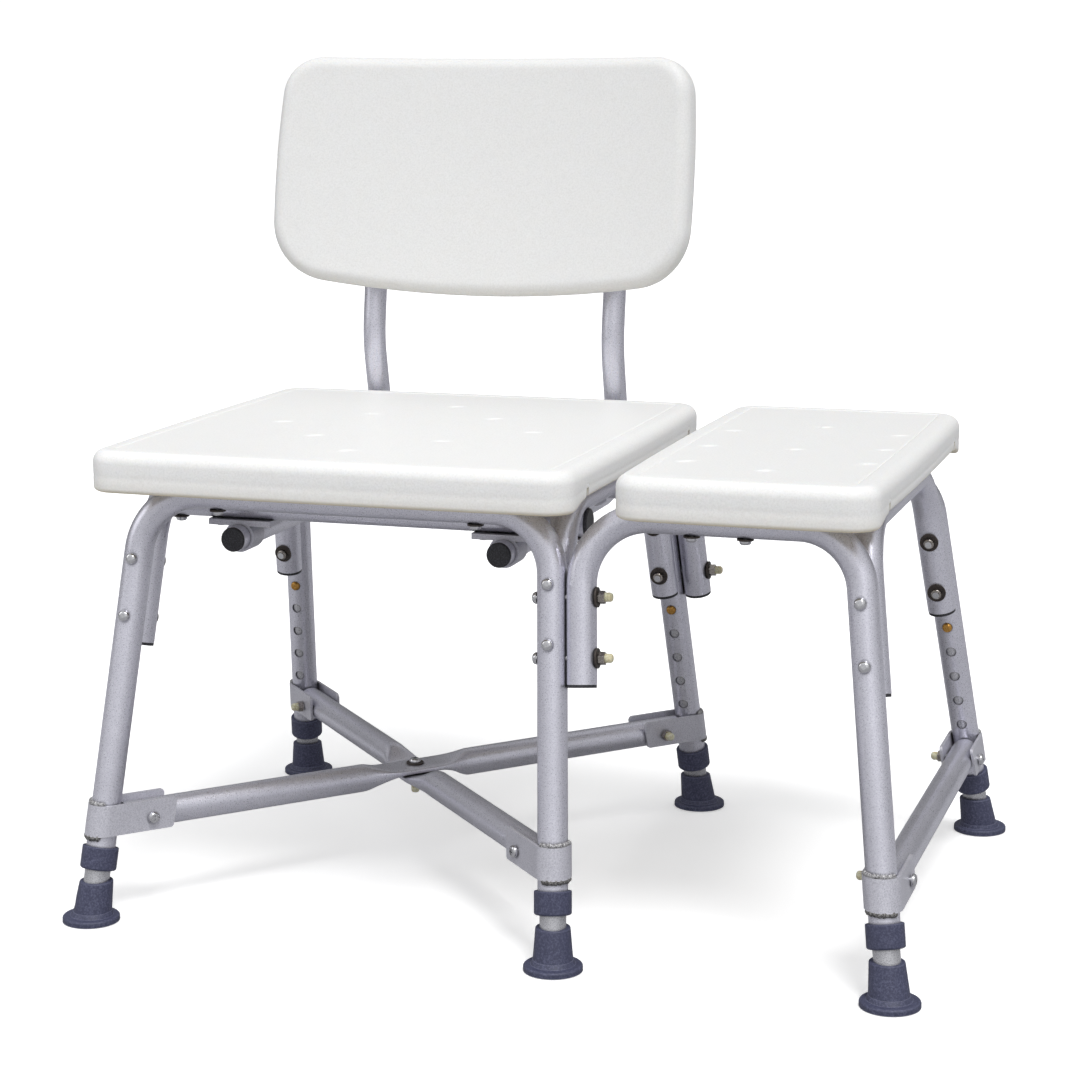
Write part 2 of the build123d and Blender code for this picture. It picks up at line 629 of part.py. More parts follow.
def back_rod(x, radius):
    """Solid rod along the whole backrest centreline."""
    front, rear, upper, top = back_corners(x)
    rear_bend = bend(front, rear, upper, REAR_BEND_R)
    top_bend = bend(rear, upper, top, UPPER_BEND_R)
    path = Wire([Edge.make_line(front, rear_bend[0]), Edge.make_three_point_arc(*rear_bend),
                 Edge.make_line(rear_bend[2], top_bend[0]), Edge.make_three_point_arc(*top_bend),
                 Edge.make_line(top_bend[2], top)])
    return sweep(Plane(origin=front, z_dir=(0, 1, 0)) * Circle(radius), path=path)


screw_points = []
for x, name in ((-BACK_X, "backrest_tube_left"), (BACK_X, "backrest_tube_right")):
    tube = back_rod(x, B_OUT) - back_rod(x, B_IN)
    for distance in BACK_SCREW_STEPS:
        point = up_the_tube(x, distance)
        screw_points.append(point)
        head = cross_head(point, back_rear, B_OUT + AIR, B_OUT + 1.8, **BACK_HEAD)
        shank = rod(point, back_rear, BACK_SCREW_R, -26.0, B_OUT + 0.2)
        add("backrest_screws", head + shank)
        tube -= rod(point, back_rear, BACK_SCREW_R + 0.1, -20, 20)
    add(name, tube)

    front, _, _, top = back_corners(x)
    forward = (0, -1, 0)
    front_cap = rounded_rod(front, forward, B_OUT - 0.1, SLIDE, 2.6, 1.4)
    add("backrest_tube_plugs", front_cap + rod(front, forward, B_IN - SLIDE, -14, 0.1))
    top_cap = rod(top, back_up, B_OUT - 0.1, SLIDE, 2.6)
    add("backrest_tube_plugs", top_cap + rod(top, back_up, B_IN - SLIDE, -14, 0.1))

# ---------------------------------------------------------------- backrest panel
PANEL_HALF_X = 210.0
PANEL_H = 230.0
PANEL_T = 28.0
PANEL_R = 860.0              # hollow curve of the backrest
PANEL_TILT = 11.0
PANEL_Y, PANEL_Z = 222.0, 621.5
PAD_W, PAD_H, PAD_DEPTH = 34, 100, 34
PAD_STEP = 132.0             # pad centre, from the upper bend corner


def panel_outline(inset):
    half_x, top, bottom = PANEL_HALF_X - inset, PANEL_H / 2 - inset, -PANEL_H / 2 + inset
    low = bottom + 17.0
    mid = (low + top) / 2
    edges = [
        ThreePointArc((-half_x, low), (0, bottom), (half_x, low)),
        ThreePointArc((half_x, low), (half_x + 3.0, mid), (half_x - 4.0, top - 2)),
        ThreePointArc((half_x - 4.0, top - 2), (0, top), (-half_x + 4.0, top - 2)),
        ThreePointArc((-half_x + 4.0, top - 2), (-half_x - 3.0, mid), (-half_x, low)),
    ]
    face = make_face(Curve() + edges)
    face = fillet(face.vertices().sort_by(Axis.Y)[:2], 50.0 - inset)
    corners = [v for v in face.vertices() if v.Y > top - 8 and abs(v.X) > half_x - 8]
    return fillet(corners, 37.0 - inset)


def upright_cylinder(radius, height):
    """Cylinder about the axis of the panel curve, in front of the panel."""
    return Pos(0, -PANEL_R, 0) * Cylinder(radius, height)


def curved_slab(inset, half_t):
    """Outline in XZ thrown through Y, kept between two upright cylinders."""
    face = Plane(origin=(0, 60, 0), x_dir=(1, 0, 0), z_dir=(0, -1, 0)) * panel_outline(inset)
    prism = extrude(face, amount=140)
    return ((prism & upright_cylinder(PANEL_R + half_t, 400))
            - upright_cylinder(PANEL_R - half_t, 420))


def rounded_slab():
    slab = curved_slab(0, PANEL_T / 2)
    broad = slab.faces().filter_by(GeomType.CYLINDER).sort_by(SortBy.AREA)[-2:]
    # guards the edge rounding: the largest radius that can be built is used
    for rounding in (11.0, 9.0, 7.0, 5.0):
        try:
            return fillet(broad[0].edges() + broad[1].edges(), rounding)
        except Exception:
            continue
    return slab


def backrest_panel():
    place = Pos(0, PANEL_Y, PANEL_Z) * Rot(-PANEL_TILT, 0, 0)
    panel = place * rounded_slab()
    hollow = place * curved_slab(18, PANEL_T / 2 - SKIN)
    # solid posts round the screws
    for point in screw_points:
        hollow -= rod(point, back_rear, 9.0, -60, 20)
    # pads on the back that reach the tubes, cut off at mid-thickness
    ahead = place * upright_cylinder(PANEL_R, 420)
    for x in (-BACK_X, BACK_X):
        plane = Plane(origin=up_the_tube(x, PAD_STEP), x_dir=(1, 0, 0), z_dir=-back_rear)
        pad = extrude(plane * RectangleRounded(PAD_W, PAD_H, 6), amount=PAD_DEPTH)
        panel = panel + (pad - ahead)
    panel = panel - hollow
    for x in (-BACK_X, BACK_X):
        panel -= rod(up_the_tube(x, 0), back_up, B_OUT + AIR, 20, 260)
    for point in screw_points:
        panel -= rod(point, back_rear, BACK_SCREW_R + 0.05, -26.5, 5)
    return panel


add("backrest_panel", backrest_panel())

# ---------------------------------------------------------------- export
os.makedirs("parts", exist_ok=True)
for name, shapes in parts.items():
    save(name, shapes)
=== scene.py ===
"""A transfer bench: a main seat with a curved backrest behind it, a transfer seat on its +X side
and six splayed legs. +Z is up, the front faces -Y and the feet stand at z = 0.

Shapes are worked out in mm from the main seat's middle. make_part moves them into the row frame
and scales them to metres.
"""
import bpy, bmesh, math, json, random
from mathutils import Vector, Matrix


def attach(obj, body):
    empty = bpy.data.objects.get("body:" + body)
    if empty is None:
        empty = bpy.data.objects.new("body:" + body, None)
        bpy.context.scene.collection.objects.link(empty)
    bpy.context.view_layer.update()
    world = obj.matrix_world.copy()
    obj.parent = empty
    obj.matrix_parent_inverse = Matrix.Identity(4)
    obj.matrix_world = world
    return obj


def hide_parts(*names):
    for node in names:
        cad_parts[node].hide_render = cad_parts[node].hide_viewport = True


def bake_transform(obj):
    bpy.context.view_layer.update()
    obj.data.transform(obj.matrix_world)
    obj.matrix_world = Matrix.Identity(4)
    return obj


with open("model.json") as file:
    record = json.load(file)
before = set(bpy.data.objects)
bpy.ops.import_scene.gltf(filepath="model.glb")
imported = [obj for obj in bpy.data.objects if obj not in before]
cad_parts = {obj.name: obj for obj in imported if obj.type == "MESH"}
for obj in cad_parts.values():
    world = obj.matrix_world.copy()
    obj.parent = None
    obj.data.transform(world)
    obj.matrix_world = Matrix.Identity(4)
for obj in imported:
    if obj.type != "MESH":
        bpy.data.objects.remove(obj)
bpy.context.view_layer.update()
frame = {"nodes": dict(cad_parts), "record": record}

cad = frame["nodes"]
MM = 0.001
ROW_X = -140.0      # x of the main seat's middle in the row frame, mm
Z_AXIS = Vector((0, 0, 1))

# Leg axes: x and y at the floor (mm), then the x and y run per mm of height
LEGS = {
    "front_left": (-211, -247, .07, .224),
    "front_middle": (211, -247, -.07, .224),
    "front_right": (491, -247, -.131, .224),
    "rear_left": (-211, 247, .07, -.224),
    "rear_middle": (211, 247, -.07, -.224),
    "rear_right": (491, 247, -.131, -.224),
}
BRACE_Z = 86.0      # height of the brace tubes


# ------------------------------------------------------------------ shader node helpers
class Nodes:
    """Adds nodes to one tree. An input given as a socket is linked, any other is set."""

    def __init__(self, owner):
        owner.use_nodes = True
        self.tree = owner.node_tree
        self.tree.nodes.clear()

    def feed(self, node, inputs):
        for key, value in inputs.items():
            socket = node.inputs[key]
            if isinstance(value, bpy.types.NodeSocket):
                self.tree.links.new(value, socket)
            elif socket.type == "RGBA":
                socket.default_value = (*value, 1)
            else:
                socket.default_value = value

    def add(self, kind, inputs=None, **settings):
        node = self.tree.nodes.new("ShaderNode" + kind)
        for key, value in settings.items():
            setattr(node, key, value)
        self.feed(node, inputs or {})
        return node

    def object_point(self):
        return self.add("TexCoord").outputs["Object"]

    def noise(self, point, scale, detail=3.0, rough=0.55):
        return self.add("TexNoise", {"Scale": scale, "Detail": detail, "Roughness": rough,
                                     "Vector": point}).outputs["Fac"]

    def ramp(self, value, *stops):
        """Colour ramp through (position, colour) stops."""
        node = self.add("ValToRGB", {"Fac": value})
        elements = node.color_ramp.elements
        while len(elements) > 1:
            elements.remove(elements[-1])
        elements[0].position = stops[0][0]
        elements[0].color = (*stops[0][1], 1)
        for position, colour in stops[1:]:
            elements.new(position).color = (*colour, 1)
        return node.outputs["Color"]

    def remap(self, value, span, to):
        return self.add("MapRange", {"From Min": span[0], "From Max": span[1], "To Min": to[0],
                                     "To Max": to[1], "Value": value}).outputs["Result"]

    def calc(self, operation, a, b):
        return self.add("Math", {0: a, 1: b}, operation=operation).outputs[0]

    def clamp(self, value):
        return self.calc("MAXIMUM", self.calc("MINIMUM", value, 1.0), 0.0)

    def dot(self, a, b):
        return self.add("VectorMath", {0: a, 1: b}, operation="DOT_PRODUCT").outputs["Value"]

    def mix(self, share, a, b, mode="MIX"):
        """Colour a, with b laid over it by share."""
        return self.add("Mix", {0: share, 6: a, 7: b}, data_type="RGBA",
                        blend_type=mode).outputs[2]

    def bump(self, height, strength, depth, normal=None):
        inputs = {"Strength": strength, "Distance": depth, "Height": height}
        if normal is not None:
            inputs["Normal"] = normal
        return self.add("Bump", inputs).outputs["Normal"]

    def edge_mask(self, radius=0.0009, gain=6.6):
        """Bright on sharp edges: a bevelled normal set against the plain one."""
        bevelled = self.add("Bevel", {"Radius": radius}, samples=4).outputs[0]
        plain = self.add("NewGeometry").outputs["Normal"]
        spread = self.calc("SUBTRACT", 1.0, self.dot(bevelled, plain))
        return self.calc("MINIMUM", self.calc("MULTIPLY", spread, gain), 1.0)


def new_material(name):
    material = bpy.data.materials.new(name)
    nodes = Nodes(material)
    output = nodes.add("OutputMaterial")
    surface = nodes.add("BsdfPrincipled")
    nodes.feed(output, {0: surface.outputs[0]})
    return material, nodes, surface


# ------------------------------------------------------------------ metals
def metal(name, base, dark, light, rough, metallic, grain, grain_share, depth,
          wear=(0.8, 0.8, 0.82), crease_shade=0.0):
    """Grained metal. wear is the colour of rubbed edges, crease the strength of the painted shade in
    the holes and joints.
    """
    material, nodes, surface = new_material(name)
    point = nodes.object_point()
    patches = nodes.noise(point, scale=14.0, detail=2.0)
    fine = nodes.noise(point, scale=grain, detail=2.0, rough=0.7)
    finer = nodes.noise(point, scale=grain * 2.3, detail=1.0, rough=0.6)
    height = nodes.calc("ADD", nodes.calc("MULTIPLY", fine, 0.6),
                        nodes.calc("MULTIPLY", finer, 0.4))
    colour = nodes.ramp(height, (0.40, dark), (0.5, base), (0.61, light))
    colour = nodes.mix(1.0 - grain_share, colour, base)
    colour = nodes.mix(nodes.remap(patches, span=(0.35, 0.7), to=(0.0, 0.22)), colour, dark)
    colour = nodes.mix(nodes.calc("MULTIPLY", nodes.edge_mask(), 0.45), colour, wear)
    if crease_shade:
        # painted shade: ambient occlusion darkens the holes and the joints
        openness = nodes.add("AmbientOcclusion", {"Distance": 0.0022}, samples=4).outputs["AO"]
        painted_crease_shade = nodes.remap(openness, span=(0.45, 0.92), to=(crease_shade, 0.0))
        colour = nodes.mix(painted_crease_shade, colour, (0.05, 0.05, 0.055))
    nodes.feed(surface, {
        "Base Color": colour,
        "Metallic": metallic,
        "Roughness": nodes.remap(fine, span=(0.3, 0.7), to=(rough - 0.09, rough + 0.10)),
        "Normal": nodes.bump(height, strength=0.55, depth=depth),
    })
    return material


TUBE = metal(
    "anodised_tube", base=(0.72, 0.715, 0.80), dark=(0.46, 0.46, 0.52), light=(0.92, 0.92, 0.97),
    rough=0.34, metallic=0.80, grain=900.0, grain_share=0.42, depth=0.00013, crease_shade=0.75)
EXTENSION = metal(
    "extension_tube_satin", base=(0.60, 0.60, 0.63), dark=(0.40, 0.40, 0.43),
    light=(0.82, 0.82, 0.84), rough=0.32, metallic=0.80, grain=1100.0, grain_share=0.6,
    depth=0.00010, crease_shade=0.75)
STRAP = metal(
    "painted_strap", base=(0.60, 0.595, 0.665), dark=(0.32, 0.32, 0.355),
    light=(0.76, 0.76, 0.79), rough=0.46, metallic=0.5, grain=850.0, grain_share=0.5,
    depth=0.00015, crease_shade=0.5)
WELD = metal(
    "weld_metal", base=(0.36, 0.355, 0.365), dark=(0.10, 0.095, 0.095), light=(0.62, 0.62, 0.63),
    rough=0.5, metallic=0.5, grain=520.0, grain_share=0.9, depth=0.0005)
# darker copy of the weld metal for the lower beads under the brackets: painted shade
WELD_SHADED = metal(
    "weld_metal_shaded", base=(0.16, 0.155, 0.15), dark=(0.045, 0.042, 0.04),
    light=(0.34, 0.335, 0.33), rough=0.5, metallic=0.6, grain=520.0, grain_share=0.95,
    depth=0.0006)
CHROME = metal(
    "plated_steel", base=(0.62, 0.62, 0.64), dark=(0.42, 0.42, 0.45), light=(0.80, 0.80, 0.82),
    rough=0.14, metallic=1.0, grain=900.0, grain_share=0.35, depth=0.00003, wear=(0.9, 0.9, 0.9))
NUT = metal(
    "plated_nut_steel", base=(0.34, 0.31, 0.285), dark=(0.18, 0.155, 0.14),
    light=(0.56, 0.53, 0.50), rough=0.2, metallic=1.0, grain=800.0, grain_share=0.5,
    depth=0.00005, wear=(0.75, 0.72, 0.68))
BRASS = metal(
    "brass_button_metal", base=(0.56, 0.29, 0.065), dark=(0.32, 0.15, 0.03),
    light=(0.80, 0.50, 0.16), rough=0.34, metallic=0.8, grain=800.0, grain_share=0.6,
    depth=0.00006, wear=(0.9, 0.66, 0.32))
SPRING = metal(
    "spring_steel", base=(0.42, 0.42, 0.44), dark=(0.26, 0.26, 0.29), light=(0.6, 0.6, 0.62),
    rough=0.3, metallic=0.95, grain=1000.0, grain_share=0.5, depth=0.00004)


# ------------------------------------------------------------------ rubber and small plastics
def dull(name, base, dark, light, rough, grain, depth, edge, edge_share=0.4, subsurface=0.0):
    """Matt rubber or plastic with paler edges."""
    material, nodes, surface = new_material(name)
    point = nodes.object_point()
    fine = nodes.noise(point, scale=grain, rough=0.65)
    patches = nodes.noise(point, scale=22.0, rough=0.6)
    colour = nodes.ramp(fine, (0.37, dark), (0.5, base), (0.65, light))
    colour = nodes.mix(nodes.remap(patches, span=(0.35, 0.7), to=(0.0, 0.35)), colour, dark)
    edges = nodes.edge_mask(radius=0.0012)
    colour = nodes.mix(nodes.calc("MULTIPLY", edges, edge_share), colour, edge)
    height = nodes.calc("ADD", fine, nodes.calc("MULTIPLY", patches, 0.5))
    nodes.feed(surface, {
        "Base Color": colour,
        "Roughness": nodes.remap(fine, span=(0.3, 0.7), to=(rough - 0.08, rough + 0.1)),
        "Normal": nodes.bump(height, strength=0.5, depth=depth),
    })
    if subsurface:
        nodes.feed(surface, {"Subsurface Weight": subsurface,
                             "Subsurface Radius": (0.004, 0.003, 0.002),
                             "Subsurface Scale": 1.0})
    return material


RUBBER = dull(
    "tip_rubber", base=(0.054, 0.058, 0.108), dark=(0.036, 0.039, 0.078),
    light=(0.100, 0.106, 0.176), rough=0.56, grain=620.0, depth=0.00018,
    edge=(0.20, 0.21, 0.30), edge_share=0.7)
PLUG = dull(
    "plug_plastic", base=(0.020, 0.020, 0.026), dark=(0.008, 0.008, 0.011),
    light=(0.055, 0.055, 0.066), rough=0.48, grain=900.0, depth=0.0001, edge=(0.09, 0.09, 0.10))
WASHER = dull(
    "washer_plastic", base=(0.030, 0.022, 0.020), dark=(0.012, 0.009, 0.008),
    light=(0.08, 0.06, 0.05), rough=0.55, grain=800.0, depth=0.00012, edge=(0.14, 0.11, 0.09))
NYLON = dull(
    "nut_cap_nylon", base=(0.74, 0.68, 0.46), dark=(0.55, 0.48, 0.28), light=(0.86, 0.82, 0.64),
    rough=0.38, grain=500.0, depth=0.00005, edge=(0.9, 0.87, 0.74), subsurface=0.35)


# ------------------------------------------------------------------ moulded white panels
def panel_material(name, low_span, painted_reflection, painted_shade_tint):
    """White resin. low_span is the height range (m) over which the painted yellowish reflection at
    the bottom fades out.
    """
    material, nodes, surface = new_material(name)
    point = nodes.object_point()
    grain = nodes.noise(point, scale=620.0, rough=0.7)
    fine_grain = nodes.noise(point, scale=1500.0, detail=1.0, rough=0.6)
    wave = nodes.noise(point, scale=9.0, detail=2.0, rough=0.5)
    mottle = nodes.noise(point, scale=55.0, rough=0.6)
    colour = nodes.ramp(grain, (0.30, (0.765, 0.763, 0.750)), (0.5, (0.83, 0.829, 0.816)),
                        (0.72, (0.875, 0.875, 0.866)))
    colour = nodes.mix(nodes.remap(mottle, span=(0.4, 0.75), to=(0.0, 0.18)), colour,
                       (0.79, 0.785, 0.765))
    # painted reflection: the underside and the lowest edge are tinted yellowish and a little darker
    normal = nodes.add("NewGeometry").outputs["Normal"]
    normal_z = nodes.add("SeparateXYZ", {0: normal}).outputs["Z"]
    down = nodes.clamp(nodes.remap(normal_z, span=(-0.9, -0.05), to=(1.0, 0.0)))
    point_z = nodes.add("SeparateXYZ", {0: point}).outputs["Z"]
    low = nodes.clamp(nodes.remap(point_z, span=low_span, to=(1.0, 0.0)))
    painted_reflection_share = nodes.calc("ADD", nodes.calc("MULTIPLY", down, 0.75),
                      nodes.calc("MULTIPLY", low, 0.16))
    painted_reflection_share = nodes.calc("MULTIPLY", nodes.calc("MINIMUM", painted_reflection_share, 1.0), painted_reflection)
    colour = nodes.mix(painted_reflection_share, colour, (0.74, 0.655, 0.47))
    worn = nodes.add("Attribute", attribute_name="worn").outputs["Fac"]
    colour = nodes.mix(nodes.calc("MULTIPLY", worn, 0.5), colour, (0.93, 0.93, 0.925))
    edges = nodes.edge_mask(radius=0.0015, gain=3.6)
    colour = nodes.mix(nodes.calc("MULTIPLY", edges, 0.35), colour, (0.90, 0.90, 0.895))
    # a tint below 1 darkens this copy of the resin: painted shade
    colour = nodes.mix(1.0, colour, (painted_shade_tint, painted_shade_tint, painted_shade_tint * 1.004), "MULTIPLY")
    height = nodes.calc("ADD", nodes.calc("MULTIPLY", grain, 0.6),
                        nodes.calc("MULTIPLY", fine_grain, 0.4))
    grain_normal = nodes.bump(height, strength=0.45, depth=0.00016)
    nodes.feed(surface, {
        "Base Color": colour,
        "Roughness": nodes.remap(grain, span=(0.3, 0.7), to=(0.40, 0.54)),
        "Normal": nodes.bump(wave, strength=0.10, depth=0.0015, normal=grain_normal),
        "Subsurface Weight": 0.12,
        "Subsurface Radius": (0.006, 0.0045, 0.003),
        "Subsurface Scale": 1.0,
        "Specular IOR Level": 0.28,
    })
    return material


SEAT_WHITE = panel_material("moulded_seat_white", low_span=(0.374, 0.392), painted_reflection=1.0, painted_shade_tint=1.0)
# the backrest's resin is darkened to 0.90 of the seat's: painted shade on its upright face
BACK_WHITE_SHADED = panel_material("moulded_back_white_shaded", low_span=(0.500, 0.530), painted_reflection=0.25, painted_shade_tint=0.90)


# ------------------------------------------------------------------ mesh helpers
def make_part(name, mesh_data, material, body, sharp_angle):
    """Object from (vertices, faces) in mm, smooth shaded, riding on body."""
    verts, faces = mesh_data
    mesh = bpy.data.meshes.new(name)
    mesh.from_pydata([Vector((x + ROW_X, y, z)) * MM for x, y, z in verts], [], faces)
    mesh.update()
    bm = bmesh.new()
    bm.from_mesh(mesh)
    bmesh.ops.remove_doubles(bm, verts=bm.verts, dist=1e-6)
    bmesh.ops.recalc_face_normals(bm, faces=bm.faces)
    bm.to_mesh(mesh)
    bm.free()
    part = bpy.data.objects.new(name, mesh)
    bpy.context.scene.collection.objects.link(part)
    mesh.materials.append(material)
    mesh.polygons.foreach_set("use_smooth", [True] * len(mesh.polygons))
    if sharp_angle is not None:
        mesh.set_sharp_from_angle(angle=math.radians(sharp_angle))
    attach(part, body)
    return part


def loft(rings):
    """Vertices and faces of a solid through rings of equal length, closed at both ends."""
    size = len(rings[0])
    verts = [point for ring in rings for point in ring]
    last = len(verts) - size
    faces = []
    for start in range(0, last, size):
        for j in range(size):
            a, b = start + j, start + (j + 1) % size
            faces.append((a, b, b + size, a + size))
    faces.append(tuple(reversed(range(size))))
    faces.append(tuple(range(last, len(verts))))
    return verts, faces


def smoothstep(start, stop, x):
    t = max(0.0, min(1.0, (x - start) / (stop - start)))
    return t * t * (3 - 2 * t)


def quarter_turn(steps):
    """Angles from 0 to 90 degrees, in radians."""
    return [math.radians(90 * k / steps) for k in range(steps + 1)]


# ------------------------------------------------------------------ seats
SEAT_HALF_Y = 222.0
SEAT_CORNER = 24.0      # plan corner radius
SEAT_BOW = 3.0          # how far each side bulges out at its middle
SEAT_PITCH = 3.0        # point spacing along the sides
SEAT_LOW, SEAT_BASE, SEAT_TOP = 374.0, 380.0, 410.0     # skirt edge, underside, top
TOP_ROUND, LOW_ROUND = 11.0, 4.0                        # edge radii
# Skirt along the two x sides: its raised edge, and the top of a notch cut near each end
SIDE_EDGE, NOTCH_TOP = 382.5, 389.5
NOTCH_MARKS = (163.4, 164.6, 165.5, 168, 170.5, 171.4, 172.6)   # extra points at |y|
SKIRT_TOP = 396.0       # the side wall is reshaped below this height
GROOVE = 20.4           # inset of the border line pressed into the top
DIMPLE_TURN = math.radians(25)

# Dimple middles (x, y)
MAIN_DIMPLES = [(-120, -12), (-60, 58), (0, 124), (60, 58), (120, -12), (-60, -84), (60, -84),
                (0, -156)]
TRANSFER_DIMPLES = [(288, 50), (362, 92), (436, 62), (288, -42), (364, -42), (438, -22),
                    (290, -128), (438, -100), (364, -158)]


def side_stations(low, high, extra=()):
    count = int((high - low) / SEAT_PITCH)
    stations = [low + (high - low) * k / count for k in range(1, count)]
    return sorted({round(s, 4) for s in [*stations, *extra]})


def seat_loop(x0, x1):
    """Anticlockwise plan loop of (x, y, nx, ny): a point one corner radius in, and the way out."""
    left, right = x0 + SEAT_CORNER, x1 - SEAT_CORNER
    rear = SEAT_HALF_Y - SEAT_CORNER
    xs = side_stations(left, right)
    ys = side_stations(-rear, rear, [s * y for s in (-1, 1) for y in NOTCH_MARKS])
    # each corner's x, y and start angle, and the side that follows it
    runs = [(right, -rear, -90, [(right, y, 1, 0) for y in ys]),
            (right, rear, 0, [(x, rear, 0, 1) for x in reversed(xs)]),
            (left, rear, 90, [(left, y, -1, 0) for y in reversed(ys)]),
            (left, -rear, 180, [(x, -rear, 0, -1) for x in xs])]
    loop = []
    for x, y, start, side in runs:
        for k in range(15):
            a = math.radians(start + 90.0 * k / 14)
            loop.append((x, y, math.cos(a), math.sin(a)))
        loop += side
    return loop


def seat_ring(loop, mid_x, half_x, inset):
    """The loop moved in by inset. Past the corner radius each corner is a point sliding in."""
    ring = []
    radius = SEAT_CORNER - inset
    for cx, cy, nx, ny in loop:
        if radius >= 0:
            x, y = cx + nx * radius, cy + ny * radius
        else:
            x = mid_x + (cx - mid_x) * (half_x - inset) / (half_x - SEAT_CORNER)
            y = cy * (SEAT_HALF_Y - inset) / (SEAT_HALF_Y - SEAT_CORNER)
        u, v = (x - mid_x) / half_x, y / SEAT_HALF_Y
        ring.append((x + u * SEAT_BOW * (1 - v * v), y + v * SEAT_BOW * (1 - u * u)))
    return ring


def seat_profile(half_x):
    """(inset, z, zone) from the middle of the underside, out round the edge, to the top."""
    profile = [(inset, SEAT_BASE, "under")
               for inset in (half_x - 1.5, half_x * 0.6, 60, 34, 24, 19, 15.5)]
    side = [(13.4, SEAT_BASE - 0.6), (12.9, SEAT_BASE - 2.2), (12.6, SEAT_LOW + 1.2),
            (11.8, SEAT_LOW + 0.25), (10.5, SEAT_LOW), (7.0, SEAT_LOW)]
    side += [(LOW_ROUND - LOW_ROUND * math.sin(a), SEAT_LOW + LOW_ROUND - LOW_ROUND * math.cos(a))
             for a in quarter_turn(5)]
    # side wall, with a hint of the moulding line
    side += [(0.0, 381.5), (0.0, 385.5), (0.25, 386.9), (0.0, 389.5), (0.0, 393.5)]
    profile += [(inset, z, "side") for inset, z in side]
    profile += [(TOP_ROUND - TOP_ROUND * math.cos(a),
                 SEAT_TOP - TOP_ROUND + TOP_ROUND * math.sin(a), "top") for a in quarter_turn(10)]
    insets = [13, 15, 17, 18.6, 19.6, 20.4, 21.2, 22.0, 23, 25, 28,
              *range(31, math.ceil(half_x - 1.5), 3), half_x - 0.6]
    return profile + [(inset, SEAT_TOP, "top") for inset in insets]


def skirt_z(z, zone, gap, y):
    """Height of an edge point at z, gap in from the nearer x side."""
    if gap >= 21:
        return z
    y = abs(y)
    # the skirt sweeps up from the corner towards the notch
    swept = SEAT_LOW + 6.5 * (1 - smoothstep(174.0, 206.0, y)) * (1 - smoothstep(14, 21, gap))
    notch = smoothstep(163.2, 164.8, y) * (1 - smoothstep(171.2, 172.8, y))
    cut = SIDE_EDGE + (NOTCH_TOP - SIDE_EDGE) * notch
    low = swept + (cut - swept) * (1 - smoothstep(172.0, 172.9, y))
    if zone == "under":
        return max(z, low) if gap < 19.5 else z
    if z < SKIRT_TOP:
        return SKIRT_TOP - (SKIRT_TOP - z) * (SKIRT_TOP - low) / (SKIRT_TOP - SEAT_LOW)
    return z


def dimple(dx, dy):
    """Rise and wear at an offset from the middle of a turned oval dimple with a raised lip."""
    if abs(dx) >= 16 or abs(dy) >= 16:
        return 0.0, 0.0
    cos, sin = math.cos(DIMPLE_TURN), math.sin(DIMPLE_TURN)
    along, across = dx * cos + dy * sin, -dx * sin + dy * cos
    q = math.sqrt((along / 8.5) ** 2 + (across / 4.2) ** 2)
    lip = 0.5 * math.exp(-((q - 1.25) / 0.32) ** 2)
    return lip - 1.5 * (1 - smoothstep(0.25, 1.05, q)), 1 - smoothstep(0.8, 1.3, q)


def top_point(x, y, z, inset, dimples):
    """Height and wear on the top: pressed border line, slightly crowned field, dimples."""
    wear = 0.0
    if 18.0 < inset < 23.0:
        z -= 0.95 * math.exp(-((inset - GROOVE) / 0.95) ** 2)
    if inset >= GROOVE:
        z -= 0.35 * smoothstep(GROOVE, 24.0, inset) * (1 - smoothstep(40, 110, inset))
    if inset > 24:
        for mid_x, mid_y in dimples:
            rise, rub = dimple(x - mid_x, y - mid_y)
            z += rise
            wear = max(wear, rub)
    return z, wear


def seat(name, node, x0, x1, dimples):
    mid_x, half_x = (x0 + x1) / 2, (x1 - x0) / 2
    loop = seat_loop(x0, x1)
    rings, worn_at = [], {}
    for inset, base_z, zone in seat_profile(half_x):
        ring = []
        for x, y in seat_ring(loop, mid_x, half_x, inset):
            z, wear = base_z, 0.0
            if zone == "side" or (zone == "under" and inset < 20):
                z = skirt_z(z, zone, min(x - x0, x1 - x), y)
            if zone == "top":
                z, wear = top_point(x, y, z, inset, dimples)
            ring.append((x, y, min(z, SEAT_TOP)))
            if wear > 0.02:
                worn_at[round((x + ROW_X) * MM, 6), round(y * MM, 6)] = wear
        rings.append(ring)
    part = make_part(name, loft(rings), SEAT_WHITE, "frame", sharp_angle=50)
    # merging doubles renumbers the vertices, so wear is found again by place
    worn = part.data.attributes.new("worn", "FLOAT", "POINT")
    for v in part.data.vertices:
        if v.co.z > 0.400:
            worn.data[v.index].value = worn_at.get((round(v.co.x, 6), round(v.co.y, 6)), 0.0)
    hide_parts(node)


seat("seat_panel_moulded", "seat_panel", -216.0, 216.0, MAIN_DIMPLES)
seat("transfer_seat_moulded", "transfer_seat_panel", 251.0, 467.0, TRANSFER_DIMPLES)

# ------------------------------------------------------------------ backrest panel
BACK_HALF_X, BACK_HALF_Z = 210.0, 115.0
BACK_LOW = -BACK_HALF_Z + 17.0              # z of the lower corners; the bottom edge bows below
BACK_HALF_DEPTH, BACK_ROUND = 14.0, 11.5    # half thickness and edge radius
BACK_BEND = 860.0                           # radius the flat panel is bent to
BACK_TILT = math.radians(11.0)
BACK_Y, BACK_Z = 222.0, 621.5               # where the panel's middle sits
BACK_SHRINK = 36.0                          # past this inset the rings shrink to the middle


